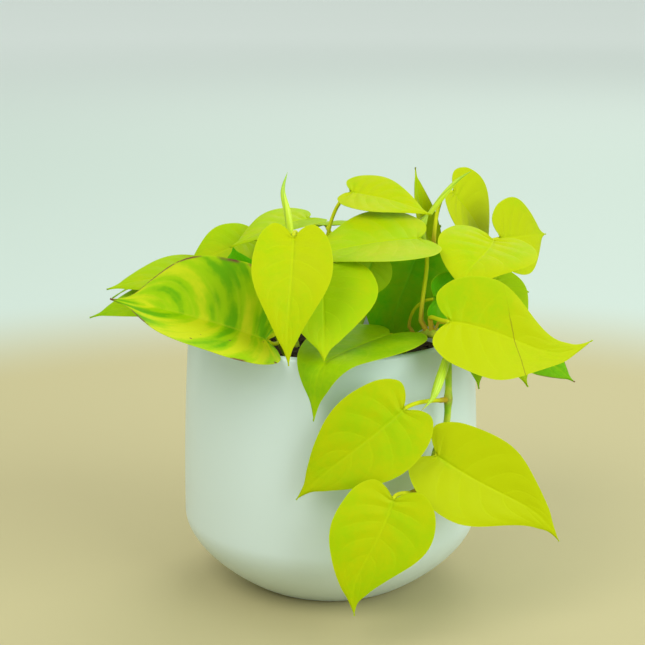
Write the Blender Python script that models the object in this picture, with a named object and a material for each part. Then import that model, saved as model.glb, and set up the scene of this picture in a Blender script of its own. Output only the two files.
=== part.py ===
"""Potted heartleaf philodendron: pot, soil, vines, leaves on their stalks, sheaths and rolled new leaves.

The origin is the centre of the pot's foot, on the surface it stands on. +Z is up and -Y is the front.
Places in the planting tables are in millimetres and are scaled by MM where they are used.
"""

import math

import bmesh
import bpy
from mathutils import Matrix, Vector

MM = 0.001
GAP = 0.3 * MM
SAME_PLACE = 0.01 * MM

POT_RADIUS = 75.0 * MM
POT_HEIGHT = 133.0 * MM
RIM_RADIUS = 71.6 * MM
FOOT_RADIUS = 41.0 * MM
BELLY_HEIGHT = 37.0 * MM
WALL = 4.6 * MM
FLOOR = 6.0 * MM
RIM_ROUND = 2.3 * MM
POT_SIDES = 36
SOIL_TOP = 112.0 * MM
SOIL_CROWN = 3.0 * MM
POCKET_BOTTOM = 96.5 * MM
POCKET_SLACK = 1.0 * MM
POCKET_DEPTH = 40.0 * MM

BLADE = 0.8 * MM
STALK_RADIUS = 1.0 * MM
FULL_STALK_LENGTH = 45.0 * MM
STALK_STEPS = 6
STALK_CROWDING = 1.15
STALK_BEND = 0.28
BLADE_ROWS = 10
RIB_SPREAD = 1.35
MARGIN_SWEEP = 1.4
VINE_RADIUS = 1.9 * MM
VINE_STEPS = 3

LIME = (0.58, 0.74, 0.01, 1)
LEAF_GREEN = (0.20, 0.46, 0.01, 1)
DEEP_GREEN = (0.05, 0.20, 0.01, 1)
YELLOW_GREEN = (0.62, 0.66, 0.08, 1)

# One half of the heart-shaped margin, from the notch round the lobe to the tip.
# Across is in half widths, along is in blade lengths.
MARGIN = [
    (0.0, 0.0),
    (0.22, -0.085),
    (0.52, -0.115),
    (0.82, -0.02),
    (0.97, 0.13),
    (1.0, 0.28),
    (0.90, 0.46),
    (0.66, 0.64),
    (0.36, 0.78),
    (0.12, 0.88),
    (0.0, 1.0),
]

# Vines: route from the foot in the soil to the growing end.
VINES = {
    "vine_trailing": [
        (34, -12, 98), (34, -12, 106), (34, -12, 115), (38, -22, 128), (45, -38, 137), (51, -50, 138.5),
        (54.5, -57, 134), (55, -61, 124), (55, -62, 110), (54, -63, 98), (48, -69, 84), (41, -77, 72),
    ],
    "vine_left": [
        (-22, -4, 98), (-22, -4, 106), (-22, -4, 115), (-26, -8, 127), (-34, -12, 142), (-44, -14, 150),
    ],
    "vine_middle": [
        (-3, -8, 98), (-3, -8, 106), (-3, -8, 115), (-5, -14, 128), (-8, -20, 148), (-16, -26, 161),
        (-21, -36, 175), (-19.5, -43, 186.5),
    ],
    "vine_right": [
        (26, 8, 98), (26, 8, 106), (26, 8, 115), (32, 8, 128), (43, 4, 148), (50, -3, 167), (46, -8, 176),
    ],
    "vine_back_left": [(-18, 24, 98), (-18, 24, 106), (-18, 24, 115), (-24, 34, 128), (-32, 42, 144)],
    "vine_back_right": [
        (12, 28, 98), (12, 28, 106), (12, 28, 115), (18, 38, 130), (26, 44, 148), (32, 44, 158),
    ],
}

# Leaves: notch, tip, facing, width over length, arch, fold, sway, the stalk's foot on a vine and its rise.
# Arch and fold are in degrees. Sway moves the tip's half of the blade sideways, in lengths.
LEAVES = {
    "leaf_trailing_low": (
        (28.5, -95, 73.5), (11, -98, 18), (0.05, -1, 0.12), 0.80, 20, 8, 0.08, (37, -82, 72), 0,
    ),
    "leaf_trailing_left": (
        (33, -85, 113), (-16, -83, 69), (-0.1, -1, 0.08), 0.67, 20, 8, 0.02, (51, -66, 112), 0,
    ),
    "leaf_trailing_right": (
        (49, -80, 89.5), (109, -66, 42), (0.15, -0.95, 0.2), 0.58, 30, 10, -0.06, (51, -71, 90), 0,
    ),
    "leaf_right_front": (
        (55, -66, 150), (123, -54, 138), (0.1, -0.9, 0.35), 0.67, 10, 14, 0.12, (47, -45, 146), 0.1,
    ),
    "leaf_right_upper": (
        (79, -18, 179), (67, -53, 157), (0.1, -0.6, 0.75), 1.1, 30, 8, 0.16, (53, 0, 161), 0.4,
    ),
    "leaf_right_far": (
        (85, 2, 176), (112, 36, 172), (0.4, -0.8, 0.3), 0.92, 20, 8, 0, (46, 9, 149), 0.4,
    ),
    "leaf_right_top": (
        (62, 15, 197), (83, 36, 158), (0.85, -0.5, 0.25), 0.88, 30, 10, 0, (51, -2, 174), 0.2,
    ),
    "leaf_right_upright": (
        (51, 19, 170), (43, 21, 209), (0.8, -0.5, 0.1), 0.60, -20, 20, 0, (37, 11, 141), 0.4,
    ),
    "leaf_centre_top": (
        (10, -5, 200.5), (49, -15, 191), (-0.1, -0.42, 0.9), 0.74, 20, 8, 0, (-4, -16, 146), 0.4,
    ),
    "leaf_centre_wide": (
        (42, -30, 182), (-18, -45, 173), (0, -0.32, 0.95), 0.80, 20, 8, 0, (43, -40, 144), 0.4,
    ),
    "leaf_front_heart": (
        (-17, -66, 189), (-19, -86, 134), (0.05, -1, 0.3), 0.63, 40, 8, 0.02, (-13, -30, 161), 0.4,
    ),
    "leaf_front_second": (
        (-4, -53, 171), (-3, -82, 135), (0.1, -0.95, 0.35), 1.1, 20, 8, 0, (-5, -25, 150), 0.4,
    ),
    "leaf_rim_front": ((28, -43, 138), (-8, -85, 108), (0, 0, 1), 0.85, 85, 5, 0, (5, -14, 127), 0),
    "leaf_middle_under": (
        (20, -36, 173), (11, -41, 150), (0, -0.9, -0.3), 0.90, 10, 8, 0, (-3, -22, 144), 0.2,
    ),
    "leaf_deep_green": ((43, -10, 171), (22, -18, 120), (0.4, -0.85, 0.3), 1.0, 10, 8, 0, (35, 4, 134), 0.4),
    "leaf_shaded_right": (
        (50, -38, 154), (80, -26, 146), (0.1, -0.9, 0.3), 0.88, 10, 8, 0, (38, -28, 138), 0.4,
    ),
    "leaf_right_behind": (
        (80, -10, 157), (97, -24, 133), (0.3, -0.8, 0.5), 0.80, 10, 8, 0, (44, 0, 143), 0.2,
    ),
    "leaf_right_low": ((93, -32, 130), (118, -38, 113), (0.2, -0.8, 0.5), 0.70, 20, 8, 0, (38, 1, 133), 0.2),
    "leaf_right_drop": (
        (66, -50, 139), (70, -57, 115), (0.6, -0.8, 0.2), 0.70, 20, 8, 0, (56, -50, 143), 0,
    ),
    "leaf_right_hidden": (
        (82, -44, 138), (94, -50, 114), (0.5, -0.8, 0.3), 0.70, 20, 8, 0, (51, -44, 144), 0,
    ),
    "leaf_left_large": (
        (-30, -58, 139), (-103, -55, 158), (0, -0.62, 0.78), 0.84, 20, 31, 0, (-22, -8, 124), 0.4,
    ),
    "leaf_left_second": (
        (-62, -15, 161), (-109, -25, 156), (0, -0.3, 0.95), 0.75, 20, 8, 0, (-46, -10, 153), 0.4,
    ),
    "leaf_left_low": (
        (-73, -25, 152), (-117, -30, 143), (0, -0.4, 0.9), 0.60, 20, 8, 0, (-38, -17, 144), 0.3,
    ),
    "leaf_left_upper": (
        (-40, -10, 177), (-73, -20, 163), (-0.3, -0.6, 0.75), 0.85, 20, 8, 0, (-38, -8, 149), 0.4,
    ),
    "leaf_left_inner": (
        (-11, -14, 189), (-48, -36, 179), (-0.2, -0.2, 0.95), 0.80, 20, 8, 0, (-13, -16, 152), 0.4,
    ),
    "leaf_left_shaded": (
        (-40, -29, 155), (-44, -31, 175), (-0.1, -0.9, 0.2), 1.0, 20, 8, 0, (-30, -16, 139), 0.4,
    ),
    "leaf_back_left_low": (
        (-58, 38, 150), (-98, 62, 130), (-0.5, 0.3, 0.8), 0.80, 30, 8, 0, (-32, 37, 133), 0.4,
    ),
    "leaf_back_left_high": (
        (-38, 28, 170), (-74, 50, 156), (-0.3, 0.3, 0.9), 0.80, 30, 8, 0, (-32, 41, 149), 0.4,
    ),
    "leaf_back_middle_low": (
        (-12, 62, 150), (-18, 94, 104), (-0.1, 0.8, 0.6), 0.82, 50, 8, 0, (-24, 43, 137), 0.4,
    ),
    "leaf_back_middle_high": (
        (-2, 28, 178), (-12, 68, 168), (0, 0.3, 0.95), 0.80, 30, 8, 0, (19, 37, 139), 0.4,
    ),
    "leaf_back_right_low": (
        (46, 58, 148), (74, 84, 112), (0.5, 0.5, 0.7), 0.82, 40, 8, 0, (26, 47, 141), 0.4,
    ),
    "leaf_back_right_high": (
        (34, 36, 178), (56, 72, 164), (0.3, 0.3, 0.9), 0.82, 30, 8, 0, (32, 43, 162), 0.2,
    ),
    "leaf_back_far_right": (
        (66, 30, 156), (106, 50, 138), (0.4, 0.2, 0.9), 0.80, 30, 8, 0, (34, 40, 151), 0.2,
    ),
    "leaf_back_far_left": (
        (-72, 12, 156), (-114, 26, 140), (-0.3, 0, 0.95), 0.80, 30, 8, 0, (-36, -6, 137), 0.4,
    ),
}

# A leaf draped over the rim bends in one place, given in lengths from its notch. The others bend evenly.
DRAPED = {"leaf_rim_front": 0.68}
DRAPE_REACH = 0.14
DRAPE_SHARE = 0.85
SIDE_VIEW_STEPS = 64

# Leaves that are not lime: the old ones in the middle of the plant and the one with green stripes.
OTHER_COLOURS = {
    "leaf_deep_green": DEEP_GREEN,
    "leaf_shaded_right": DEEP_GREEN,
    "leaf_left_shaded": DEEP_GREEN,
    "leaf_middle_under": LEAF_GREEN,
    "leaf_left_large": LEAF_GREEN,
}

# Rolled new leaves and pointed sheaths: route, with the thickest radius in millimetres.
SPEARS = {
    "new_leaf_right": ([(49.5, -10, 193), (55, -11, 200), (61, -12, 207), (68, -13, 212)], 1.5),
    "new_leaf_middle": ([(-19, -44, 190), (-20.6, -43, 197), (-22.6, -41, 206.5), (-20.4, -39, 215)], 2.0),
}
SHEATHS = {
    "sheath_trailing": ([(53.5, -63.7, 132), (51, -71, 125), (47, -78, 117), (41, -82, 112)], 2.4),
    "sheath_right": ([(45, -9.5, 178.5), (44, -10, 183), (46, -10, 188), (49, -10, 192)], 2.4),
}


def clear_scene():
    for item in list(bpy.data.objects):
        bpy.data.objects.remove(item, do_unlink=True)


def finish_material(name, colour, roughness):
    material = bpy.data.materials.new(name)
    material.use_nodes = True
    shader = material.node_tree.nodes["Principled BSDF"]
    shader.inputs["Base Color"].default_value = colour
    shader.inputs["Roughness"].default_value = roughness
    shader.inputs["Metallic"].default_value = 0.0
    return material


def finish_object(name, bm, colour, roughness, sharp_angle=35):
    bmesh.ops.remove_doubles(bm, verts=bm.verts, dist=SAME_PLACE)
    mesh = bpy.data.meshes.new(name)
    bm.to_mesh(mesh)
    bm.free()
    mesh.materials.append(finish_material(name, colour, roughness))
    mesh.shade_smooth()
    mesh.set_sharp_from_angle(angle=math.radians(sharp_angle))
    item = bpy.data.objects.new(name, mesh)
    bpy.context.scene.collection.objects.link(item)
    return item


def curve_point(points, t):
    """Point at t (0 to 1) on a smooth curve through the given points."""
    spans = len(points) - 1
    place = min(max(t, 0.0), 1.0) * spans
    index = min(int(place), spans - 1)
    f = place - index
    before = points[max(index - 1, 0)]
    start = points[index]
    end = points[index + 1]
    after = points[min(index + 2, spans)]
    return 0.5 * (
        2 * start
        + (end - before) * f
        + (2 * before - 5 * start + 4 * end - after) * f * f
        + (3 * start - before - 3 * end + after) * f * f * f
    )


def route_through(places, steps):
    """Evenly stepped points along a smooth curve through places in millimetres."""
    points = [Vector(p) * MM for p in places]
    count = steps * (len(points) - 1)
    return [curve_point(points, i / count) for i in range(count + 1)]


def stem(name, places, radii, colour):
    """Closed round stem along a route in millimetres, one radius in millimetres for each place."""
    curve = bpy.data.curves.new(name, "CURVE")
    curve.dimensions = "3D"
    curve.bevel_depth = MM
    curve.bevel_resolution = 2
    curve.use_fill_caps = True
    route = route_through(places, VINE_STEPS)
    spline = curve.splines.new("POLY")
    spline.points.add(len(route) - 1)
    for i, place in enumerate(route):
        at = i / VINE_STEPS
        low = min(int(at), len(radii) - 2)
        spline.points[i].co = (*place, 1)
        spline.points[i].radius = radii[low] + (radii[low + 1] - radii[low]) * (at - low)
    curve.materials.append(finish_material(name, colour, 0.5))
    item = bpy.data.objects.new(name, curve)
    bpy.context.scene.collection.objects.link(item)
    return item


def pot_outline():
    """Outer half profile from the foot's edge to below the rim, as (radius, height)."""
    foot = Vector((FOOT_RADIUS, 0))
    belly = Vector((POT_RADIUS, BELLY_HEIGHT))
    pull_out = Vector((FOOT_RADIUS + 0.05 * (POT_RADIUS - FOOT_RADIUS), 0))
    pull_down = Vector((POT_RADIUS, 0.53 * BELLY_HEIGHT))
    points = []
    for i in range(9):
        t = i / 8
        s = 1 - t
        points.append(s**3 * foot + 3 * s * s * t * pull_out + 3 * s * t * t * pull_down + t**3 * belly)
    for i in range(1, 8):
        u = i / 7
        height = BELLY_HEIGHT + u * (POT_HEIGHT - RIM_ROUND - BELLY_HEIGHT)
        points.append(Vector((POT_RADIUS + (RIM_RADIUS - POT_RADIUS) * u * u, height)))
    return points


def inset_outline(points, depth):
    """The same profile moved inwards by depth, square to its own slope."""
    moved = []
    for i, point in enumerate(points):
        ahead = (points[min(i + 1, len(points) - 1)] - points[max(i - 1, 0)]).normalized()
        moved.append(point + depth * Vector((-ahead.y, ahead.x)))
    return moved


def turned(outline):
    """Solid of revolution about Z of an outline that starts and ends on the axis."""
    bm = bmesh.new()
    verts = [bm.verts.new((p[0], 0, p[1])) for p in outline]
    edges = [bm.edges.new((a, b)) for a, b in zip(verts, verts[1:])]
    bmesh.ops.spin(
        bm, geom=verts + edges, axis=(0, 0, 1), cent=(0, 0, 0),
        angle=math.tau, steps=POT_SIDES, use_merge=True, use_normal_flip=False,
    )
    bmesh.ops.remove_doubles(bm, verts=bm.verts, dist=SAME_PLACE)
    bmesh.ops.recalc_face_normals(bm, faces=bm.faces)
    return bm


def make_pot():
    outer = pot_outline()
    inner = [p for p in inset_outline(outer, WALL) if p.y > FLOOR]
    rim_middle = RIM_RADIUS - WALL / 2
    rim = []
    for i in range(1, 6):
        angle = math.pi * i / 6
        across = math.cos(angle) * WALL / 2
        rim.append(Vector((rim_middle + across, POT_HEIGHT - RIM_ROUND + math.sin(angle) * RIM_ROUND)))
    inside_floor = [Vector((inner[0].x - 3 * MM, FLOOR)), Vector((0, FLOOR))]
    outline = [Vector((0, 0))] + outer + rim + inner[::-1] + inside_floor
    return finish_object("pot", turned(outline), (0.72, 0.78, 0.74, 1), 0.35)


def make_soil():
    side = [p for p in inset_outline(pot_outline(), WALL + GAP) if FLOOR + MM < p.y < SOIL_TOP - MM]
    edge = side[-1].x
    outline = [Vector((0, FLOOR + GAP)), Vector((side[0].x - 3 * MM, FLOOR + GAP))] + side
    outline += [Vector((edge - 0.2 * MM, SOIL_TOP)), Vector((edge * 0.6, SOIL_TOP + 0.6 * SOIL_CROWN))]
    outline += [Vector((0, SOIL_TOP + SOIL_CROWN))]
    soil = finish_object("soil", turned(outline), (0.05, 0.03, 0.02, 1), 0.95)
    bm = bmesh.new()
    for places in VINES.values():
        x, y, _ = places[0]
        pocket = bmesh.ops.create_cone(
            bm, cap_ends=True, segments=12, depth=POCKET_DEPTH,
            radius1=VINE_RADIUS + POCKET_SLACK, radius2=VINE_RADIUS + POCKET_SLACK,
        )
        middle = (x * MM, y * MM, POCKET_BOTTOM + POCKET_DEPTH / 2)
        bmesh.ops.translate(bm, verts=pocket["verts"], vec=middle)
    cutter = finish_object("pockets", bm, (0.5, 0.5, 0.5, 1), 0.5)
    cutter.hide_render = True
    cutter.display_type = "WIRE"
    cut = soil.modifiers.new("pockets", "BOOLEAN")
    cut.operation = "DIFFERENCE"
    cut.object = cutter
    return soil


def margin_point(t):
    """Half margin at t (0 at the notch, 1 at the tip): across in half widths, along in lengths."""
    place = curve_point([Vector(p) for p in MARGIN], t)
    return max(place.x, 0.0), place.y


def side_view(arch, bend_at):
    """The midrib from the side, in lengths: a function of the run from the notch to (ahead, height)."""
    def heading(run):
        if bend_at is None:
            return -arch * run
        t = min(max((run - bend_at + DRAPE_REACH) / (2 * DRAPE_REACH), 0), 1)
        return -arch * ((1 - DRAPE_SHARE) * run + DRAPE_SHARE * t * t * (3 - 2 * t))

    steps = SIDE_VIEW_STEPS
    place = Vector((0, 0))
    line = [place]
    for i in range(steps):
        angle = heading((i + 0.5) / steps)
        place = place + Vector((math.cos(angle), math.sin(angle))) / steps
        line.append(place)
    scale = 1 / place.length
    level = Matrix.Rotation(-math.atan2(place.y, place.x), 2)
    line = [level @ p * scale for p in line]

    def at(run):
        spot = min(max(run * steps, 0), steps)
        index = min(int(spot), steps - 1)
        spare = (run * steps - spot) / steps
        start = line[1] - line[0] if run < 0 else line[-1] - line[-2]
        return line[index].lerp(line[index + 1], spot - index) + start * steps * spare

    return at


def blade_point(frame, across, along):
    """Place on the blade for across (-1 to 1, margin to margin) and along (0 notch, 1 tip)."""
    notch, side, ahead, face, length, half_width, profile, fold, sway, stalk_radius = frame
    out, reach = margin_point(along)
    rib = along**RIB_SPREAD
    sweep = abs(across) ** MARGIN_SWEEP
    x = across * max(out * half_width, stalk_radius * (1 - along))
    v = rib + (reach - rib) * sweep
    y, h = profile(v) * length
    h += abs(x) * math.sin(fold)
    lean = sway * length * math.sin(math.pi * max(v, 0) ** 2)
    return notch + side * (x * math.cos(fold) + lean) + ahead * y + face * h


def stalk_route(notch, start, foot, rise):
    """Curved route of a leaf's stalk from the notch to its foot on a vine."""
    distance = (foot - notch).length
    handle_a = notch + start * distance * STALK_BEND
    handle_b = foot + Vector((0, 0, rise * distance))
    points = []
    for i in range(1, STALK_STEPS + 1):
        t = (i / STALK_STEPS) ** STALK_CROWDING
        s = 1 - t
        points.append(s**3 * notch + 3 * s * s * t * handle_a + 3 * s * t * t * handle_b + t**3 * foot)
    return points


def make_leaf(name, notch, tip, facing, width, arch, fold, sway, foot, rise, colour):
    """One leaf, its blade and its stalk a single closed solid."""
    notch, tip, foot = Vector(notch) * MM, Vector(tip) * MM, Vector(foot) * MM
    length = (tip - notch).length
    ahead = (tip - notch) / length
    face = Vector(facing) - Vector(facing).dot(ahead) * ahead
    face.normalize()
    side = ahead.cross(face)
    half_width = width * length / 2
    stalk_radius = STALK_RADIUS * min(1, length / FULL_STALK_LENGTH)
    bends = (side_view(math.radians(arch), DRAPED.get(name)), math.radians(fold), sway)
    frame = (notch, side, ahead, face, length, half_width, *bends, stalk_radius)

    bm = bmesh.new()
    along = bm.verts.layers.float.new("along")
    turn = bm.verts.layers.float.new("turn")
    bmesh.ops.create_grid(bm, x_segments=2, y_segments=BLADE_ROWS, size=1.0)
    for v in bm.verts:
        across = v.co.x
        v[along] = (v.co.y + 1) / 2
        v.co = blade_point(frame, across, v[along])
    bmesh.ops.remove_doubles(bm, verts=bm.verts, dist=SAME_PLACE)
    back = bmesh.ops.extrude_face_region(bm, geom=bm.faces[:])["geom"]
    back_verts = [g for g in back if isinstance(g, bmesh.types.BMVert)]
    bmesh.ops.translate(bm, verts=back_verts, vec=-face * BLADE)

    cap = [f for f in bm.faces if all(v[along] == 0 for v in f.verts)]
    ring = {v for f in cap for v in f.verts}
    middle = sum((v.co for v in ring), Vector()) / len(ring)
    for v in ring:
        spoke = v.co - middle
        v[turn] = math.atan2(spoke.dot(face), spoke.dot(side) * 0.5)

    start = (-0.75 * ahead - 0.65 * face).normalized()
    route = stalk_route(middle, start, foot, rise)
    heading = -ahead
    before = middle
    for i, place in enumerate(route):
        after = route[min(i + 1, len(route) - 1)]
        new_heading = (after - before).normalized()
        swing = heading.rotation_difference(new_heading)
        side = swing @ side
        face = swing @ face
        heading = new_heading
        before = place
        rim = list({e for f in cap for e in f.edges})
        grown = bmesh.ops.extrude_face_region(bm, geom=cap + rim)["geom"]
        cap = [g for g in grown if isinstance(g, bmesh.types.BMFace)]
        for v in {v for f in cap for v in f.verts}:
            v.co = place + stalk_radius * (side * math.cos(v[turn]) + face * math.sin(v[turn]))
    bmesh.ops.recalc_face_normals(bm, faces=bm.faces)
    return finish_object(name, bm, colour, 0.45)


def main():
    clear_scene()
    make_pot()
    make_soil()
    for name, places in VINES.items():
        radii = [VINE_RADIUS / MM] * (len(places) - 1) + [0.8 * VINE_RADIUS / MM]
        stem(name, places, radii, YELLOW_GREEN)
    for name, (places, thick) in SPEARS.items():
        stem(name, places, [0.6 * thick, thick, 0.7 * thick, 0.1 * thick], LIME)
    for name, (places, thick) in SHEATHS.items():
        stem(name, places, [0.5 * thick, thick, 0.7 * thick, 0.1 * thick], LIME)
    for name, values in LEAVES.items():
        make_leaf(name, *values, colour=OTHER_COLOURS.get(name, LIME))


main()
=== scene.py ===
# Looks of the potted heartleaf philodendron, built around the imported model.
import math
import random

import bmesh
import bpy
from mathutils import Matrix, Vector, noise


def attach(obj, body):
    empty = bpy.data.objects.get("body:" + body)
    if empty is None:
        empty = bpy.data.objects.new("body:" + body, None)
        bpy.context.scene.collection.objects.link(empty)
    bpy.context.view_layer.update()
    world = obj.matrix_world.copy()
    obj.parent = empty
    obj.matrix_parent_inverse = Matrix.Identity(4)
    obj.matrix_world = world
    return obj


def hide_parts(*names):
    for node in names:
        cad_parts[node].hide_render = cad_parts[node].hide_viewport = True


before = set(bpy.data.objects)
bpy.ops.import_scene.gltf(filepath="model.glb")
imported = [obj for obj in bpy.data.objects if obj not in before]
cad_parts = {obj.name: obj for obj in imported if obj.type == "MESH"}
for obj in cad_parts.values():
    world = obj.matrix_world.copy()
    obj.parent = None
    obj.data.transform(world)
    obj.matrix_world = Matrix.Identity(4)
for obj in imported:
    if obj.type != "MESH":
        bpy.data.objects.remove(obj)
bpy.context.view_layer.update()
mm = 0.001
random.seed(11)
print("frame loaded")


# Helpers for shapes, pieces and materials


def curvePoint(points, t):  # smooth curve through the points, t from 0 to 1
    spans = len(points) - 1
    place = min(max(t, 0.0), 1.0) * spans
    index = min(int(place), spans - 1)
    f = place - index
    before = points[max(index - 1, 0)]
    start = points[index]
    end = points[index + 1]
    after = points[min(index + 2, spans)]
    return 0.5 * (
        2 * start
        + (end - before) * f
        + (2 * before - 5 * start + 4 * end - after) * f * f
        + (3 * start - before - 3 * end + after) * f * f * f
    )


def routeThrough(places, count):  # places in mm, points in metres
    points = [Vector(p) * mm for p in places]
    return [curvePoint(points, i / count) for i in range(count + 1)]


def smoothStep(low, high, value):
    t = min(max((value - low) / (high - low), 0.0), 1.0)
    return t * t * (3 - 2 * t)


def makePiece(name, bm, material, slotName, *nodes, sharp=40):
    mesh = bpy.data.meshes.new(name)
    bm.to_mesh(mesh)
    bm.free()
    mesh.materials.append(material)
    mesh.shade_smooth()
    mesh.set_sharp_from_angle(angle=math.radians(sharp))
    piece = bpy.data.objects.new(name, mesh)
    bpy.context.scene.collection.objects.link(piece)
    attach(piece, "root")
    if nodes:
        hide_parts(*nodes)
    return piece


def newMaterial(name):
    material = bpy.data.materials.new(name)
    material.use_nodes = True
    return material, material.node_tree, material.node_tree.nodes["Principled BSDF"]


def linkMath(tree, operation, *inputs, clamp=False):  # each input is a number or a socket
    node = tree.nodes.new("ShaderNodeMath")
    node.operation = operation
    node.use_clamp = clamp
    for socket, value in zip(node.inputs, inputs):
        if isinstance(value, bpy.types.NodeSocket):
            tree.links.new(value, socket)
        else:
            socket.default_value = value
    return node.outputs[0]


def linkRange(tree, value, low, high, toLow=0.0, toHigh=1.0):  # smooth step of a socket
    node = tree.nodes.new("ShaderNodeMapRange")
    node.interpolation_type = "SMOOTHSTEP"
    for key, number in (("From Min", low), ("From Max", high), ("To Min", toLow), ("To Max", toHigh)):
        node.inputs[key].default_value = number
    tree.links.new(value, node.inputs["Value"])
    return node.outputs["Result"]


def linkNoise(tree, vector, scale, detail=3, roughness=0.55, distortion=0.0):
    node = tree.nodes.new("ShaderNodeTexNoise")
    node.inputs["Scale"].default_value = scale
    node.inputs["Detail"].default_value = detail
    node.inputs["Roughness"].default_value = roughness
    node.inputs["Distortion"].default_value = distortion
    tree.links.new(vector, node.inputs["Vector"])
    return node.outputs["Fac"]


def linkMix(tree, share, first, second):  # colours as tuples or sockets
    node = tree.nodes.new("ShaderNodeMix")
    node.data_type = "RGBA"
    for socket, value in ((node.inputs[0], share), (node.inputs[6], first), (node.inputs[7], second)):
        if isinstance(value, bpy.types.NodeSocket):
            tree.links.new(value, socket)
        elif isinstance(value, tuple):
            socket.default_value = (*value, 1)
        else:
            socket.default_value = value
    return node.outputs[2]


def linkRamp(tree, value, stops):  # stops are (place, colour)
    node = tree.nodes.new("ShaderNodeValToRGB")
    node.color_ramp.interpolation = "EASE"
    while len(node.color_ramp.elements) < len(stops):
        node.color_ramp.elements.new(0.5)
    for element, (place, colour) in zip(node.color_ramp.elements, stops):
        element.position = place
        element.color = (*colour, 1)
    tree.links.new(value, node.inputs["Fac"])
    return node.outputs["Color"]


def linkBump(tree, height, strength, distance, normal=None):
    node = tree.nodes.new("ShaderNodeBump")
    node.inputs["Strength"].default_value = strength
    node.inputs["Distance"].default_value = distance
    tree.links.new(height, node.inputs["Height"])
    if normal:
        tree.links.new(normal, node.inputs["Normal"])
    return node.outputs["Normal"]


def objectPlace(tree):
    return tree.nodes.new("ShaderNodeTexCoord").outputs["Object"]


def attribute(tree, name):
    node = tree.nodes.new("ShaderNodeAttribute")
    node.attribute_name = name
    return node.outputs["Fac"]


# Pot, sizes in mm
pot = {
    "radius": 75.0, "height": 133.0, "rimRadius": 71.6, "footRadius": 41.0, "bellyHeight": 37.0,
    "wall": 4.6, "floor": 6.0, "rimRound": 2.3, "footEdge": 0.8, "footPull": 0.05, "bellyPull": 0.53,
    "coveFrom": 2.0, "coveLift": 0.8, "coveEnd": 5.0,
    "sides": 160, "bellySteps": 32, "wallSteps": 24, "rimSteps": 14, "weld": 0.005, "sheen": (0.34, 0.42),
    "glaze": (0.62, 0.725, 0.695), "glazeDeep": (0.60, 0.71, 0.68), "bareClay": (0.55, 0.53, 0.47),
}


def potOutline():  # outer half profile, (radius, height) in mm
    foot = Vector((pot["footRadius"], 0))
    belly = Vector((pot["radius"], pot["bellyHeight"]))
    pullOut = foot + Vector((pot["footPull"] * (pot["radius"] - pot["footRadius"]), 0))
    pullDown = Vector((pot["radius"], pot["bellyPull"] * pot["bellyHeight"]))
    points = [foot - Vector((pot["footEdge"], 0)), foot + Vector((0, 0.3 * pot["footEdge"]))]
    for i in range(1, pot["bellySteps"] + 1):
        t = i / pot["bellySteps"]
        s = 1 - t
        points.append(s**3 * foot + 3 * s * s * t * pullOut + 3 * s * t * t * pullDown + t**3 * belly)
    for i in range(1, pot["wallSteps"] + 1):
        u = i / pot["wallSteps"]
        height = pot["bellyHeight"] + u * (pot["height"] - pot["rimRound"] - pot["bellyHeight"])
        points.append(Vector((pot["radius"] + (pot["rimRadius"] - pot["radius"]) * u * u, height)))
    return points


def insetOutline(points, depth):
    moved = []
    for i, point in enumerate(points):
        ahead = (points[min(i + 1, len(points) - 1)] - points[max(i - 1, 0)]).normalized()
        moved.append(point + depth * Vector((-ahead.y, ahead.x)))
    return moved


def turned(outline, sides):  # solid of revolution of an outline in mm
    bm = bmesh.new()
    verts = [bm.verts.new((p[0] * mm, 0, p[1] * mm)) for p in outline]
    edges = [bm.edges.new(pair) for pair in zip(verts, verts[1:])]
    bmesh.ops.spin(
        bm, geom=verts + edges, axis=(0, 0, 1), cent=(0, 0, 0),
        angle=math.tau, steps=sides, use_merge=True, use_normal_flip=False,
    )
    bmesh.ops.remove_doubles(bm, verts=bm.verts, dist=pot["weld"] * mm)
    bmesh.ops.recalc_face_normals(bm, faces=bm.faces)
    return bm


def potGlaze():
    material, tree, shader = newMaterial("potGlaze")
    place = objectPlace(tree)
    apart = tree.nodes.new("ShaderNodeSeparateXYZ")
    tree.links.new(place, apart.inputs[0])
    drift = linkNoise(tree, place, 14, 2)
    speck = linkNoise(tree, place, 900, 2)
    glaze = linkMix(tree, drift, pot["glaze"], pot["glazeDeep"])
    glaze = linkMix(tree, linkRange(tree, speck, 0.70, 0.78, 0, 0.25), glaze, pot["bareClay"])
    footLine = linkMath(tree, "ADD", apart.outputs["Z"], linkMath(tree, "MULTIPLY", drift, 0.0006))
    bare = linkRange(tree, footLine, 0.0006, 0.0014, 1, 0)
    tree.links.new(linkMix(tree, bare, glaze, pot["bareClay"]), shader.inputs["Base Color"])
    sheen = linkRange(tree, linkNoise(tree, place, 60, 3), 0.3, 0.7, *pot["sheen"])
    tree.links.new(sheen, shader.inputs["Roughness"])
    wave = linkBump(tree, linkNoise(tree, place, 22, 1), 0.10, 0.0006)
    grain = linkBump(tree, linkNoise(tree, place, 1400, 2), 0.05, 0.0001, wave)
    tree.links.new(grain, shader.inputs["Normal"])
    shader.inputs["Coat Weight"].default_value = 0.25
    shader.inputs["Coat Roughness"].default_value = 0.30
    shader.inputs["Specular IOR Level"].default_value = 0.45
    return material


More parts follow.
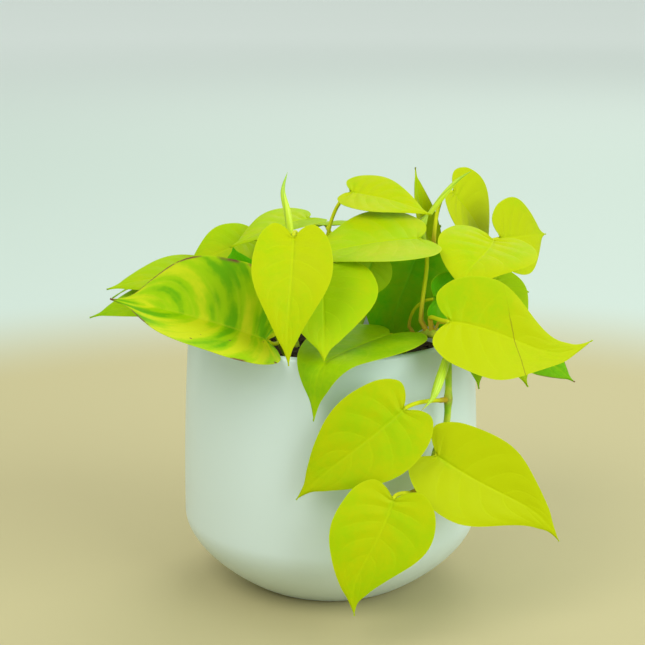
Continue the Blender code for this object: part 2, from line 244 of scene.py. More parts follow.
def makePot():
    outer = potOutline()
    inner = [p for p in insetOutline(outer, pot["wall"]) if p.y > pot["floor"] + pot["coveFrom"]]
    rimMiddle = pot["rimRadius"] - pot["wall"] / 2
    rim = []
    for i in range(1, pot["rimSteps"]):
        angle = math.pi * i / pot["rimSteps"]
        across = rimMiddle + math.cos(angle) * pot["wall"] / 2
        rim.append(Vector((across, pot["height"] - pot["rimRound"] + math.sin(angle) * pot["rimRound"])))
    cove = [
        Vector((inner[0].x - pot["coveFrom"], pot["floor"] + pot["coveLift"])),
        Vector((inner[0].x - pot["coveEnd"], pot["floor"])),
    ]
    outline = [Vector((0, 0))] + outer + rim + inner[::-1] + cove + [Vector((0, pot["floor"]))]
    makePiece("ceramicPot", turned(outline, pot["sides"]), potGlaze(), "pot", "pot")


makePot()
print("pot made")


# Soil, sizes in mm
soil = {
    "top": 112.0, "crown": 3.0, "gap": 0.4, "bottom": 9.0, "baseLift": 0.5, "baseInset": 4.0, "edgeDrop": 2.0,
    "rough": 1.3, "roughBelowTop": 0.5, "lumps": 260, "sides": 128, "rings": 40,
    "crumbs": 420, "crumbSize": (0.7, 2.4), "crumbReach": 64.0,
    "dark": (0.020, 0.013, 0.008), "brown": (0.075, 0.046, 0.024), "chip": (0.16, 0.10, 0.05),
}


def soilEarth():
    material, tree, shader = newMaterial("soilEarth")
    place = objectPlace(tree)
    lumps = linkNoise(tree, place, soil["lumps"], 6, 0.65)
    fibre = linkNoise(tree, place, 900, 3, 0.6, 1.5)
    earth = linkRamp(tree, lumps, [(0.35, soil["dark"]), (0.62, soil["brown"])])
    earth = linkMix(tree, linkRange(tree, fibre, 0.62, 0.70, 0, 0.8), earth, soil["chip"])
    tree.links.new(earth, shader.inputs["Base Color"])
    shader.inputs["Roughness"].default_value = 0.95
    shader.inputs["Specular IOR Level"].default_value = 0.2
    tree.links.new(linkBump(tree, lumps, 0.8, 0.001), shader.inputs["Normal"])
    return material


def makeSoil():
    wallLine = insetOutline(potOutline(), pot["wall"] + soil["gap"])
    side = [p for p in wallLine if soil["bottom"] < p.y < soil["top"] - soil["edgeDrop"]]
    edge = side[-1].x
    base = pot["floor"] + soil["baseLift"]
    outline = [Vector((0, base)), Vector((side[0].x - soil["baseInset"], base))] + side
    for i in range(soil["rings"]):
        u = 1 - i / (soil["rings"] - 1)
        outline.append(Vector((edge * u, soil["top"] + soil["crown"] * (1 - u * u))))
    bm = turned(outline, soil["sides"])
    for v in bm.verts:
        if v.co.z > (soil["top"] - soil["roughBelowTop"]) * mm:
            lump = noise.fractal(v.co * soil["lumps"], 1.0, 2.0, 4)
            atWall, inside = edge * mm, (edge - soil["edgeDrop"]) * mm  # flat at the pot's wall
            v.co.z += lump * soil["rough"] * mm * smoothStep(atWall, inside, v.co.xy.length)
    earth = soilEarth()
    makePiece("pottingSoil", bm, earth, "soil", "soil")

    crumbs = bmesh.new()
    for i in range(soil["crumbs"]):
        size = random.uniform(*soil["crumbSize"]) * mm / 2
        away = soil["crumbReach"] * mm * math.sqrt(random.random())
        angle = random.uniform(0, math.tau)
        height = (soil["top"] + soil["crown"] * (1 - (away / (edge * mm)) ** 2)) * mm + size * 0.5
        made = bmesh.ops.create_icosphere(crumbs, subdivisions=1, radius=size)["verts"]
        stretch = Vector((random.uniform(0.7, 1.5), random.uniform(0.7, 1.3), random.uniform(0.5, 0.9)))
        for v in made:
            v.co = v.co * (1 + 0.35 * noise.noise(v.co * 900 + Vector((i, 0, 0)))) * stretch
        bmesh.ops.translate(crumbs, verts=made, vec=(away * math.cos(angle), away * math.sin(angle), height))
    makePiece("soilCrumbs", crumbs, earth, "soil", sharp=180)


makeSoil()
print("soil made")


# Vines, rolled new leaves and sheaths
vines = {  # routes in mm, from the foot in the soil to the growing end
    "vine_trailing": [
        (34, -12, 98), (34, -12, 106), (34, -12, 115), (38, -22, 128), (45, -38, 137), (51, -50, 138.5),
        (54.5, -57, 134), (55, -61, 124), (55, -62, 110), (54, -63, 98), (48, -69, 84), (41, -77, 72),
    ],
    "vine_left": [
        (-22, -4, 98), (-22, -4, 106), (-22, -4, 115), (-26, -8, 127), (-34, -12, 142), (-44, -14, 150),
    ],
    "vine_middle": [
        (-3, -8, 98), (-3, -8, 106), (-3, -8, 115), (-5, -14, 128), (-8, -20, 148), (-16, -26, 161),
        (-21, -36, 175), (-19.5, -43, 186.5),
    ],
    "vine_right": [
        (26, 8, 98), (26, 8, 106), (26, 8, 115), (32, 8, 128), (43, 4, 148), (50, -3, 167), (46, -8, 176),
    ],
    "vine_back_left": [(-18, 24, 98), (-18, 24, 106), (-18, 24, 115), (-24, 34, 128), (-32, 42, 144)],
    "vine_back_right": [
        (12, 28, 98), (12, 28, 106), (12, 28, 115), (18, 38, 130), (26, 44, 148), (32, 44, 158),
    ],
}
vineLook = {
    "radius": 1.75, "taper": 0.12, "nodeSwell": 0.55, "nodeReach": 3.0, "brownReach": 2.6,
    "sides": 20, "stepsPerSpan": 10,
    "fresh": (0.30, 0.54, 0.01), "yellow": (0.50, 0.60, 0.03), "brown": (0.26, 0.13, 0.04),
}
vineRoutes = {
    name: routeThrough(places, vineLook["stepsPerSpan"] * (len(places) - 1)) for name, places in vines.items()
}


def nearestOnVines(place):
    return min((p for route in vineRoutes.values() for p in route), key=lambda p: (p - place).length)


def sweptTube(route, radiusAt, sides):  # closed tube, radiusAt(t, angle) in metres
    bm = bmesh.new()
    turn = bm.verts.layers.float.new("turn")
    run = bm.verts.layers.float.new("run")
    ring = bmesh.ops.create_circle(bm, cap_ends=False, segments=sides, radius=1)["verts"]
    for v in ring:
        v[turn] = math.atan2(v.co.y, v.co.x)
    edges = list(bm.edges)
    heading, side, face = Vector((0, 0, 1)), Vector((1, 0, 0)), Vector((0, 1, 0))
    last = len(route) - 1
    for i, place in enumerate(route):
        newHeading = (route[min(i + 1, last)] - route[max(i - 1, 0)]).normalized()
        swing = heading.rotation_difference(newHeading)
        side, face, heading = swing @ side, swing @ face, newHeading
        if i:
            grown = bmesh.ops.extrude_edge_only(bm, edges=edges)["geom"]
            edges = [g for g in grown if isinstance(g, bmesh.types.BMEdge)]
            ring = [g for g in grown if isinstance(g, bmesh.types.BMVert)]
        for v in ring:
            radius = radiusAt(i / last, v[turn])
            v[run] = i / last
            v.co = place + radius * (side * math.cos(v[turn]) + face * math.sin(v[turn]))
    bmesh.ops.holes_fill(bm, edges=bm.edges, sides=0)
    bmesh.ops.recalc_face_normals(bm, faces=bm.faces)
    return bm


def vineSkin():
    material, tree, shader = newMaterial("vineSkin")
    place = objectPlace(tree)
    node = attribute(tree, "node")
    mottle = linkNoise(tree, place, 160, 4, 0.6)
    streak = linkNoise(tree, place, 700, 3)
    skin = linkMix(tree, linkRange(tree, mottle, 0.4, 0.62), vineLook["fresh"], vineLook["yellow"])
    scar = linkMath(tree, "MULTIPLY", node, linkRange(tree, streak, 0.35, 0.6, 0.25, 1))
    tree.links.new(linkMix(tree, scar, skin, vineLook["brown"]), shader.inputs["Base Color"])
    shader.inputs["Roughness"].default_value = 0.5
    shader.inputs["Specular IOR Level"].default_value = 0.25
    tree.links.new(linkBump(tree, streak, 0.35, 0.0003), shader.inputs["Normal"])
    return material


def makeVines(feet):
    skin = vineSkin()
    for name, route in vineRoutes.items():
        near = [min((p - foot).length for foot in feet) for p in route]

        def radiusAt(t, angle):
            at = min(int(t * (len(route) - 1) + 0.5), len(route) - 1)
            swell = math.exp(-((near[at] / (vineLook["nodeReach"] * mm)) ** 2))
            body = vineLook["radius"] * (1 - vineLook["taper"] * t)
            return (body + vineLook["nodeSwell"] * swell) * mm

        bm = sweptTube(route, radiusAt, vineLook["sides"])
        node = bm.verts.layers.float.new("node")
        for v in bm.verts:
            away = min((v.co - foot).length for foot in feet)
            v[node] = math.exp(-((away / (vineLook["brownReach"] * mm)) ** 2))
        makePiece(name.replace("_", "") + "Skin", bm, skin, "vine", name)


spears = {  # rolled new leaves: route and thickest radius in mm
    "new_leaf_right": ([(48, -9.5, 190), (55, -11, 200), (61, -12, 207), (68, -13, 212)], 1.55),
    "new_leaf_middle": ([(-19, -43.5, 187), (-20.6, -43, 197), (-22.6, -41, 206.5), (-20.4, -39, 215)], 1.9),
}
sheaths = {
    "sheath_trailing": ([(54.5, -61, 133), (51, -71, 125), (47, -78, 117), (41, -82, 111.5)], 2.5),
    "sheath_right": ([(45.5, -8.5, 175.5), (44, -10, 183), (46, -10, 188), (49, -10, 192)], 2.4),
}
spearLook = {
    "winding": 3.0, "taperFrom": 0.6, "base": 0.75, "overlap": 0.20, "point": 0.04, "steps": 40, "sides": 36,
    "tip": (0.30, 0.52, 0.01), "side": (0.56, 0.72, 0.02), "seam": (0.16, 0.34, 0.01),
}
sheathLook = {
    "base": 0.55, "swellRate": 1.3, "pointFrom": 0.55, "pointShare": 0.93, "point": 0.04,
    "groove": 0.5, "grooveTurn": 1.2, "grooveRun": (0.1, 0.4), "ribs": 14, "steps": 36, "sides": 32,
    "pale": (0.48, 0.66, 0.02), "green": (0.40, 0.61, 0.005), "dry": (0.45, 0.28, 0.10),
}


def spearSkin():
    material, tree, shader = newMaterial("rolledLeafSkin")
    run, turn = attribute(tree, "run"), attribute(tree, "turn")
    winding = linkMath(tree, "SUBTRACT", turn, linkMath(tree, "MULTIPLY", run, spearLook["winding"]))
    seam = linkRange(tree, linkMath(tree, "ABSOLUTE", linkMath(tree, "SINE", winding)), 0.0, 0.35, 0.55, 0)
    skin = linkMix(tree, linkRange(tree, run, 0.3, 1.0), spearLook["side"], spearLook["tip"])
    tree.links.new(linkMix(tree, seam, skin, spearLook["seam"]), shader.inputs["Base Color"])
    shader.inputs["Roughness"].default_value = 0.4
    fine = linkNoise(tree, objectPlace(tree), 800, 2)
    tree.links.new(linkBump(tree, fine, 0.2, 0.0002), shader.inputs["Normal"])
    return material


def sheathSkin():
    material, tree, shader = newMaterial("sheathSkin")
    run = attribute(tree, "run")
    ribs = linkMath(tree, "SINE", linkMath(tree, "MULTIPLY", attribute(tree, "turn"), sheathLook["ribs"]))
    skin = linkMix(tree, linkRange(tree, ribs, -1, 1, 0, 0.7), sheathLook["pale"], sheathLook["green"])
    skin = linkMix(tree, linkRange(tree, run, 0.8, 1.0), skin, sheathLook["dry"])
    tree.links.new(skin, shader.inputs["Base Color"])
    shader.inputs["Roughness"].default_value = 0.4
    shader.inputs["Subsurface Weight"].default_value = 0.3
    shader.inputs["Subsurface Radius"].default_value = (0.6, 0.7, 0.2)
    shader.inputs["Subsurface Scale"].default_value = 0.002
    tree.links.new(linkBump(tree, ribs, 0.3, 0.0002), shader.inputs["Normal"])
    return material


def spearRadius(thick):  # swells, then tapers to a point, with one edge rolled over the other
    def radiusAt(t, angle):
        start, base = spearLook["taperFrom"], spearLook["base"]
        if t < start:
            body = base + (1 - base) * math.sin(math.pi * t / start)
        else:
            body = base * (1 - t) / (1 - start)
        winding = (angle - spearLook["winding"] * t) % math.tau / math.tau
        rolled = 1 - spearLook["overlap"] + spearLook["overlap"] * winding
        return max(body, spearLook["point"]) * thick * rolled * mm

    return radiusAt


def sheathRadius(thick):  # a fat middle, a fine point and a groove along one side
    def radiusAt(t, angle):
        swell = math.sin(math.pi * min(t * sheathLook["swellRate"], 1))
        body = sheathLook["base"] + (1 - sheathLook["base"]) * swell
        body *= 1 - smoothStep(sheathLook["pointFrom"], 1, t) * sheathLook["pointShare"]
        opening = max(0, math.cos(angle + sheathLook["grooveTurn"])) ** 2
        groove = sheathLook["groove"] * opening * smoothStep(*sheathLook["grooveRun"], t)
        return max(body, sheathLook["point"]) * thick * (1 - groove) * mm

    return radiusAt


def makeSpears():
    skin = spearSkin()
    for name, (places, thick) in spears.items():
        route = routeThrough(places, spearLook["steps"])
        bm = sweptTube(route, spearRadius(thick), spearLook["sides"])
        makePiece(name.replace("_", "") + "Spear", bm, skin, "new_leaf", name)
    skin = sheathSkin()
    for name, (places, thick) in sheaths.items():
        route = routeThrough(places, sheathLook["steps"])
        bm = sweptTube(route, sheathRadius(thick), sheathLook["sides"])
        makePiece(name.replace("_", "") + "Skin", bm, skin, "sheath", name)


makeSpears()
print("rolled leaves and sheaths made")


# Leaves
# Half a margin from the notch round the lobe to the tip, across in half widths and along in lengths.
margin = [
    (0.0, 0.0), (0.22, -0.085), (0.52, -0.115), (0.82, -0.02), (0.97, 0.13), (1.0, 0.28),
    (0.90, 0.46), (0.66, 0.64), (0.36, 0.78), (0.12, 0.88), (0.0, 1.0),
]
margin = [Vector(p) for p in margin]

leafShape = {
    "columns": 30, "rows": 44, "crowding": 1.5, "weld": 0.008, "sideSteps": 64, "sweep": 1.4, "foldEase": 1.5,
    "thick": 0.42, "edgeThin": 0.45, "ribSpread": 1.35, "ribHeight": 0.75, "ribWidth": 0.9,
    "groove": 0.35, "grooveWidth": 0.8, "quilt": 0.34, "veins": 7.0, "veinLean": 0.30, "veinBow": 1.3,
    "waves": 9, "waveShift": 1.3, "drapeReach": 0.14, "drapeShare": 0.85,
    "stalkRadius": 1.0, "fullStalkLength": 45.0, "stalkSteps": 22, "stalkCrowding": 1.15, "stalkBend": 0.28,
    "stalkStart": (0.75, 0.65), "stalkSpan": 78, "topSwell": 0.18, "footSwell": 0.30,
}
# Places in mm, arch and fold in degrees, sway in lengths.
# Tone runs from 0, yellow lime, to 1, deep green. Curl, cup and ripple are in mm.
# The half tone is painted shade that deepens one half of the blade before the crease.
leafUsual = {
    "fold": 8, "sway": 0, "rise": 0.4, "tone": 0.1, "curl": 0.8, "cup": 1.0, "ripple": 0.5,
    "pinch": 0.15, "wear": 0.0, "crease": -500.0, "paintedHalfShade": 0.0, "drape": None, "look": "lime_leaf",
}
leaves = {
    "leaf_trailing_low": dict(
        notch=(28.5, -95, 73.5), tip=(11, -98, 18), foot=(37, -82, 72), facing=(0.05, -1, 0.12),
        width=0.80, arch=20, sway=0.08, rise=0, pinch=0.2, tone=0.10,
    ),
    "leaf_trailing_left": dict(
        notch=(33, -85, 113), tip=(-16, -83, 69), foot=(51, -66, 112), facing=(-0.1, -1, 0.08),
        width=0.67, arch=20, sway=0.02, rise=0, pinch=0.12, tone=0.10,
    ),
    "leaf_trailing_right": dict(
        notch=(49, -80, 89.5), tip=(109, -66, 42), foot=(51, -71, 90), facing=(0.15, -0.95, 0.2),
        width=0.58, arch=30, fold=10, sway=-0.06, rise=0, pinch=0.3, tone=0.0,
    ),
    # painted shade: a dark line at the crease and a deeper tone on one half before it
    "leaf_right_front": dict(
        notch=(55, -66, 150), tip=(123, -54, 138), foot=(47, -45, 146), facing=(0.1, -0.9, 0.35),
        width=0.67, arch=10, fold=14, sway=0.12, rise=0.1, pinch=0.42, crease=30.5, tone=0.0, paintedHalfShade=0.10,
    ),
    "leaf_right_upper": dict(
        notch=(79, -18, 179), tip=(67, -53, 157), foot=(53, 0, 161), facing=(0.1, -0.6, 0.75),
        width=1.1, arch=30, sway=0.16, tone=0.08,
    ),
    "leaf_right_far": dict(
        notch=(85, 2, 176), tip=(112, 36, 172), foot=(46, 9, 149), facing=(0.4, -0.8, 0.3),
        width=0.92, arch=20, tone=0.04,
    ),
    "leaf_right_top": dict(
        notch=(62, 15, 197), tip=(83, 36, 158), foot=(51, -2, 174), facing=(0.85, -0.5, 0.25),
        width=0.88, arch=30, fold=10, rise=0.2, tone=0.0,
    ),
    "leaf_right_upright": dict(
        notch=(51, 19, 170), tip=(43, 21, 209), foot=(37, 11, 141), facing=(0.8, -0.5, 0.1),
        width=0.54, arch=-20, fold=20, tone=0.12, wear=0.4,
    ),
    "leaf_centre_top": dict(
        notch=(10, -5, 200.5), tip=(49, -15, 191), foot=(-4, -16, 146), facing=(-0.1, -0.42, 0.9),
        width=0.74, arch=20, tone=0.08,
    ),
    "leaf_centre_wide": dict(
        notch=(42, -30, 182), tip=(-18, -45, 173), foot=(43, -40, 144), facing=(0, -0.32, 0.95),
        width=0.80, arch=20, tone=0.14,
    ),
    "leaf_front_heart": dict(
        notch=(-17, -66, 189), tip=(-19, -86, 134), foot=(-13, -30, 161), facing=(0.05, -1, 0.3),
        width=0.63, arch=40, sway=0.02, pinch=0.25, tone=0.05,
    ),
    "leaf_front_second": dict(
        notch=(-4, -53, 171), tip=(-3, -82, 135), foot=(-5, -25, 150), facing=(0.1, -0.95, 0.35),
        width=1.1, arch=20, tone=0.18,
    ),
    "leaf_rim_front": dict(
        notch=(28, -43, 138), tip=(-8, -85, 108), foot=(5, -14, 127), facing=(0, 0, 1),
        width=0.85, arch=85, fold=5, rise=0, pinch=0.10, drape=0.68, tone=0.38,
    ),
    "leaf_middle_under": dict(
        notch=(20, -36, 173), tip=(11, -41, 150), foot=(-3, -22, 144), facing=(0, -0.9, -0.3),
        width=0.90, arch=10, rise=0.2, tone=0.30, look="shaded_leaf",
    ),
    "leaf_deep_green": dict(
        notch=(43, -10, 171), tip=(22, -18, 120), foot=(35, 4, 134), facing=(0.4, -0.85, 0.3),
        width=1.0, arch=10, tone=0.50, look="shaded_leaf",
    ),
    "leaf_shaded_right": dict(
        notch=(50, -38, 154), tip=(80, -26, 146), foot=(38, -28, 138), facing=(0.1, -0.9, 0.3),
        width=0.88, arch=10, tone=0.54, look="shaded_leaf",
    ),
    "leaf_right_behind": dict(
        notch=(80, -10, 157), tip=(97, -24, 133), foot=(44, 0, 143), facing=(0.3, -0.8, 0.5),
        width=0.80, arch=10, rise=0.2, tone=0.22,
    ),
    "leaf_right_low": dict(
        notch=(93, -32, 130), tip=(118, -38, 113), foot=(38, 1, 133), facing=(0.2, -0.8, 0.5),
        width=0.70, arch=20, rise=0.2, tone=0.48, wear=1.0,
    ),
    "leaf_right_drop": dict(
        notch=(66, -50, 139), tip=(70, -57, 115), foot=(56, -50, 143), facing=(0.6, -0.8, 0.2),
        width=0.70, arch=20, rise=0, tone=0.40,
    ),
    "leaf_right_hidden": dict(
        notch=(82, -44, 138), tip=(94, -50, 114), foot=(51, -44, 144), facing=(0.5, -0.8, 0.3),
        width=0.70, arch=20, rise=0, tone=0.20,
    ),
    "leaf_left_large": dict(
        notch=(-30, -58, 139), tip=(-103, -55, 158), foot=(-22, -8, 124), facing=(0, -0.62, 0.78),
        width=0.84, arch=20, fold=31, pinch=-0.22, tone=0.32, wear=1.0, look="striped_leaf",
    ),
    "leaf_left_second": dict(
        notch=(-62, -15, 161), tip=(-109, -25, 156), foot=(-46, -10, 153), facing=(0, -0.3, 0.95),
        width=0.75, arch=20, tone=0.20,
    ),
    "leaf_left_low": dict(
        notch=(-73, -25, 152), tip=(-117, -30, 143), foot=(-38, -17, 144), facing=(0, -0.4, 0.9),
        width=0.60, arch=20, rise=0.3, tone=0.36,
    ),
    "leaf_left_upper": dict(
        notch=(-40, -10, 177), tip=(-73, -20, 163), foot=(-38, -8, 149), facing=(-0.3, -0.6, 0.75),
        width=0.85, arch=20, tone=0.18,
    ),
    "leaf_left_inner": dict(
        notch=(-11, -14, 189), tip=(-48, -36, 179), foot=(-13, -16, 152), facing=(-0.2, -0.2, 0.95),
        width=0.80, arch=20, tone=0.18,
    ),
    "leaf_left_shaded": dict(
        notch=(-42, -29, 157), tip=(-47, -31, 178), foot=(-30, -16, 139), facing=(-0.1, -0.9, 0.2),
        width=1.2, arch=20, tone=0.62, look="shaded_leaf",
    ),
    "leaf_back_left_low": dict(
        notch=(-58, 38, 150), tip=(-98, 62, 130), foot=(-32, 37, 133), facing=(-0.5, 0.3, 0.8),
        width=0.80, arch=30, tone=0.15,
    ),
    "leaf_back_left_high": dict(
        notch=(-38, 28, 170), tip=(-74, 50, 156), foot=(-32, 41, 149), facing=(-0.3, 0.3, 0.9),
        width=0.80, arch=30, tone=0.22,
    ),
    "leaf_back_middle_low": dict(
        notch=(-12, 62, 150), tip=(-18, 94, 104), foot=(-24, 43, 137), facing=(-0.1, 0.8, 0.6),
        width=0.82, arch=50, tone=0.05,
    ),
    "leaf_back_middle_high": dict(
        notch=(-2, 28, 178), tip=(-12, 68, 168), foot=(19, 37, 139), facing=(0, 0.3, 0.95),
        width=0.80, arch=30, tone=0.20,
    ),
    "leaf_back_right_low": dict(
        notch=(46, 58, 148), tip=(74, 84, 112), foot=(26, 47, 141), facing=(0.5, 0.5, 0.7),
        width=0.82, arch=40, tone=0.12,
    ),
    "leaf_back_right_high": dict(
        notch=(34, 36, 178), tip=(56, 72, 164), foot=(32, 43, 162), facing=(0.3, 0.3, 0.9),
        width=0.82, arch=30, rise=0.2, tone=0.25,
    ),
    "leaf_back_far_right": dict(
        notch=(66, 30, 156), tip=(106, 50, 138), foot=(34, 40, 151), facing=(0.4, 0.2, 0.9),
        width=0.80, arch=30, rise=0.2, tone=0.18,
    ),
    "leaf_back_far_left": dict(
        notch=(-72, 12, 156), tip=(-114, 26, 140), foot=(-36, -6, 137), facing=(-0.3, 0, 0.95),
        width=0.80, arch=30, tone=0.40,
    ),
}


def sideView(arch, drape):  # midrib from the side: run from the notch to (ahead, height), in lengths
    def heading(run):
        if drape is None:
            return -arch * run
        gathered = smoothStep(drape - leafShape["drapeReach"], drape + leafShape["drapeReach"], run)
        return -arch * ((1 - leafShape["drapeShare"]) * run + leafShape["drapeShare"] * gathered)

    steps = leafShape["sideSteps"]
    line = [Vector((0, 0))]
    for i in range(steps):
        angle = heading((i + 0.5) / steps)
        line.append(line[-1] + Vector((math.cos(angle), math.sin(angle))) / steps)
    end = line[-1]
    level = Matrix.Rotation(-math.atan2(end.y, end.x), 2)
    line = [level @ p / end.length for p in line]

    def at(run):
        spot = min(max(run * steps, 0), steps)
        index = min(int(spot), steps - 1)
        spare = (run * steps - spot) / steps
        start = line[1] - line[0] if run < 0 else line[-1] - line[-2]
        return line[index].lerp(line[index + 1], spot - index) + start * steps * spare

    return at


def leafFrame(values, index):  # adds the leaf's own axes and sizes, in metres
    leaf = {**leafUsual, **values}
    leaf["notch"], leaf["tip"], leaf["foot"] = (Vector(leaf[key]) * mm for key in ("notch", "tip", "foot"))
    leaf["length"] = (leaf["tip"] - leaf["notch"]).length
    leaf["ahead"] = (leaf["tip"] - leaf["notch"]) / leaf["length"]
    facing = Vector(leaf["facing"])
    leaf["face"] = (facing - facing.dot(leaf["ahead"]) * leaf["ahead"]).normalized()
    leaf["side"] = leaf["ahead"].cross(leaf["face"])
    leaf["halfWidth"] = leaf["width"] * leaf["length"] / 2
    shortness = min(1, leaf["length"] / (leafShape["fullStalkLength"] * mm))
    leaf["radius"] = leafShape["stalkRadius"] * mm * shortness
    leaf["profile"] = sideView(math.radians(leaf["arch"]), leaf["drape"])
    leaf["phase"] = 1.7 * index
    return leaf


def bladeShares(leaf, across, along):  # offset from the midrib in metres and run in lengths
    place = curvePoint(margin, along)
    out, reach = max(place.x, 0.0), place.y
    out *= 1 - leaf["pinch"] * math.sin(math.pi * smoothStep(0.5, 1.0, along))
    rib = along ** leafShape["ribSpread"]
    x = across * max(out * leaf["halfWidth"], leaf["radius"] * (1 - along))
    return x, rib + (reach - rib) * abs(across) ** leafShape["sweep"]


def relief(leaf, across, along, x):  # height of veins, curl and ripples above the plain blade
    width = abs(across)
    fade = 1 - along
    groove = -leafShape["groove"] * math.exp(-((x / (leafShape["grooveWidth"] * mm)) ** 2)) * fade
    veinPlace = (along - leafShape["veinLean"] * width ** leafShape["veinBow"]) * leafShape["veins"]
    quilt = -leafShape["quilt"] * math.cos(math.tau * veinPlace) * math.sin(math.pi * min(width, 1)) * fade
    curl = -leaf["curl"] * width**4 * (0.4 + 0.6 * along)
    cup = leaf["cup"] * width**2 * math.exp(-5 * along) * smoothStep(0, 0.08, along)
    shift = leafShape["waveShift"] if across > 0 else 0
    wave = math.sin(leafShape["waves"] * along + leaf["phase"] + shift) * width**3
    ripple = leaf["ripple"] * wave * smoothStep(0, 0.15, along) * fade**0.3
    return (groove + quilt + curl + cup + ripple) * mm


def bladePlace(leaf, across, along):
    x, v = bladeShares(leaf, across, along)
    fold = math.radians(leaf["fold"])
    y, h = leaf["profile"](v) * leaf["length"]
    ease = leafShape["foldEase"] * mm
    soft = math.sqrt(x * x + ease * ease) - ease  # folds without a hard line at the midrib
    h += soft * math.sin(fold) + relief(leaf, across, along, x)
    lean = leaf["sway"] * leaf["length"] * math.sin(math.pi * max(v, 0) ** 2)
    return leaf["notch"] + leaf["side"] * (x * math.cos(fold) + lean) + leaf["ahead"] * y + leaf["face"] * h


def bladeNormal(leaf, across, along):
    a, b = min(across + 0.02, 1), max(across - 0.02, -1)
    c, d = min(along + 0.02, 0.99), max(along - 0.02, 0.02)
    acrossStep = bladePlace(leaf, a, max(along, 0.03)) - bladePlace(leaf, b, max(along, 0.03))
    alongStep = bladePlace(leaf, across, c) - bladePlace(leaf, across, d)
    normal = acrossStep.cross(alongStep)
    if normal.length < 1e-12:
        return leaf["face"]
    normal.normalize()
    return normal if normal.dot(leaf["face"]) > 0 else -normal


def stalkRoute(leaf, middle):
    back, down = leafShape["stalkStart"]
    start = (-back * leaf["ahead"] - down * leaf["face"]).normalized()
    foot = leaf["foot"]
    distance = (foot - middle).length
    handleA = middle + start * distance * leafShape["stalkBend"]
    handleB = foot + Vector((0, 0, leaf["rise"] * distance))
    route = []
    for i in range(1, leafShape["stalkSteps"] + 1):
        t = (i / leafShape["stalkSteps"]) ** leafShape["stalkCrowding"]
        s = 1 - t
        route.append(s**3 * middle + 3 * s * s * t * handleA + 3 * s * t * t * handleB + t**3 * foot)
    joint = nearestOnVines(foot)  # the last steps run into the vine
    return route + [foot.lerp(joint, 0.5), joint]


def makeLeaf(name, leaf, skin):
    bm = bmesh.new()
    keys = ("across", "along", "offset", "run", "stalk", "tone", "wear", "crease", "under", "turn")
    layers = {key: bm.verts.layers.float.new(key) for key in keys}
    bmesh.ops.create_grid(bm, x_segments=leafShape["columns"], y_segments=leafShape["rows"], size=1.0)
    for v in bm.verts:
        across = math.copysign(abs(v.co.x) ** leafShape["crowding"], v.co.x)
        along = min(max((v.co.y + 1) / 2, 0), 1)
        x, run = bladeShares(leaf, across, along)
        v[layers["across"]], v[layers["along"]] = across, along
        runLength = run * leaf["length"] / mm
        v[layers["offset"]], v[layers["run"]] = x / mm, runLength
        # painted shade: one half of the blade (negative across) gets a deeper tone from the notch to the
        # crease
        beforeCrease = smoothStep(leaf["crease"], leaf["crease"] - 3, runLength)
        v[layers["tone"]] = leaf["tone"] + leaf["paintedHalfShade"] * beforeCrease * smoothStep(0.0, -0.12, across)
        v[layers["wear"]], v[layers["crease"]] = leaf["wear"], leaf["crease"]
        v.co = bladePlace(leaf, across, along)
    bmesh.ops.remove_doubles(bm, verts=bm.verts, dist=leafShape["weld"] * mm)
    back = bmesh.ops.extrude_face_region(bm, geom=bm.faces[:])["geom"]
    for v in [g for g in back if isinstance(g, bmesh.types.BMVert)]:
        across, along, offset = v[layers["across"]], v[layers["along"]], v[layers["offset"]]
        rib = leafShape["ribHeight"] * math.exp(-((offset / leafShape["ribWidth"]) ** 2)) * (1 - along) ** 0.7
        thick = leafShape["thick"] * (1 - leafShape["edgeThin"] * abs(across) ** 6)
        v[layers["under"]] = 1
        v.co -= bladeNormal(leaf, across, along) * (thick + rib) * mm

    cap = [f for f in bm.faces if all(v[layers["along"]] < 1e-6 for v in f.verts)]
    ring = {v for f in cap for v in f.verts}
    middle = sum((v.co for v in ring), Vector()) / len(ring)
    for v in ring:
        spread = math.copysign(abs(v[layers["across"]]) ** (1 / leafShape["crowding"]), v[layers["across"]])
        angle = math.radians(90 - leafShape["stalkSpan"] * spread)
        v[layers["turn"]] = -angle if v[layers["under"]] else angle
    route = stalkRoute(leaf, middle)
    heading, side, face, before = -leaf["ahead"], leaf["side"], leaf["face"], middle
    for i, place in enumerate(route):
        after = route[min(i + 1, len(route) - 1)]
        newHeading = (after - before).normalized()
        swing = heading.rotation_difference(newHeading)
        side, face, heading, before = swing @ side, swing @ face, newHeading, place
        edges = list({e for f in cap for e in f.edges})
        grown = bmesh.ops.extrude_face_region(bm, geom=cap + edges)["geom"]
        cap = [g for g in grown if isinstance(g, bmesh.types.BMFace)]
        t = (i + 1) / len(route)
        topSwell = leafShape["topSwell"] * math.exp(-((t / 0.08) ** 2))
        radius = leaf["radius"] * (1 + topSwell + leafShape["footSwell"] * smoothStep(0.75, 1, t))
        for v in {v for f in cap for v in f.verts}:
            v[layers["stalk"]] = 0.3 + 0.7 * t
            v.co = place + radius * (side * math.cos(v[layers["turn"]]) + face * math.sin(v[layers["turn"]]))
    bmesh.ops.recalc_face_normals(bm, faces=bm.faces)
    makePiece(name.replace("_", ""), bm, skin, leaf["look"], name, sharp=70)


